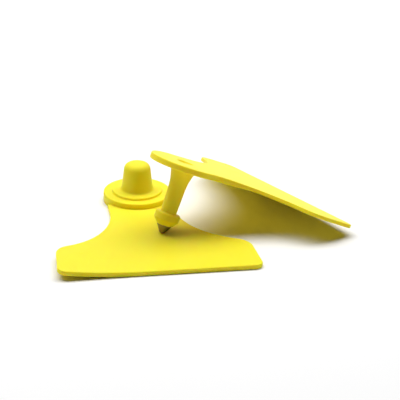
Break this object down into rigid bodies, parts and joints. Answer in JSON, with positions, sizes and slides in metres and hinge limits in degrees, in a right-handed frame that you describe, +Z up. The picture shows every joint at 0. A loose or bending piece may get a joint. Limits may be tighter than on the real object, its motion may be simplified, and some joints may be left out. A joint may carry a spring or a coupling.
{
  "type": "livestock ear tag",
  "caption": "Blank two-piece plastic ear tag for cattle: female tag with closed button cap, male tag with hollow stem and pointed metal tip.",
  "frame": {"origin": "mouth of the female button's socket, on the button's axis at the floor", "axes": "+Z up along the button's axis out of the cap, -Y along the female panel to its wide end, +X across it towards the side where the male tag leans"},
  "size_m": [0.1205, 0.0981, 0.0351],
  "materials": {
    "female_plastic": "yellow moulded polyurethane, satin",
    "male_plastic": "yellow moulded polyurethane, satin",
    "tip_metal": "dark machined metal"
  },
  "bodies": {
    "root": {"female_tag": "female_plastic", "male_tag": "male_plastic", "metal_tip": "tip_metal"}
  },
  "joints": []
}
